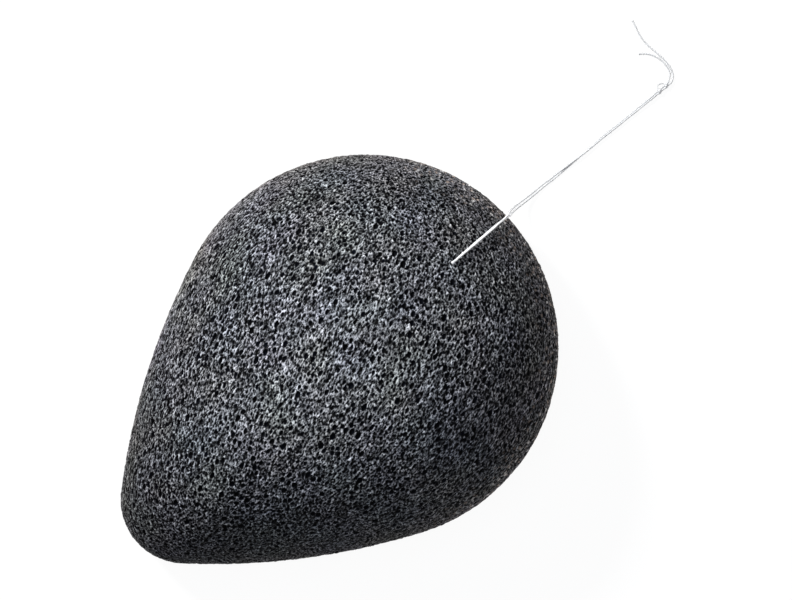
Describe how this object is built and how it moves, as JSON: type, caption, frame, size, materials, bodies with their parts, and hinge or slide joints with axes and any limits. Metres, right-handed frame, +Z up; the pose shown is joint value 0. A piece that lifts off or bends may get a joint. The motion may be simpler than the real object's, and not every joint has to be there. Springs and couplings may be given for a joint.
{
  "type": "konjac sponge",
  "caption": "Drop-shaped domed foam sponge on a flat back, with a thin doubled thread loop that ends in a small knot and cut tails.",
  "frame": {"origin": "middle of the sponge's length and width, on its flat back, which lies on the table", "axes": "+X along the drop's axis from the tip to the broad end, +Y to its left, +Z up from the flat back to the crown"},
  "size_m": [0.1239, 0.0666, 0.035],
  "materials": {
    "foam": "matte",
    "thread": "matte"
  },
  "bodies": {
    "sponge": {"sponge_body": "foam", "thread_stitch": "thread"},
    "loop": {"strand_left": "thread", "strand_right": "thread", "loop_knot": "thread", "tail_long": "thread", "tail_short": "thread"}
  },
  "joints": [
    {"name": "loop_lift", "type": "hinge", "parent": "sponge", "child": "loop", "pos_m": [0.0298, 0.0016, 0.0291], "axis": [0, -1, 0], "range_deg": [0, 120]}
  ]
}
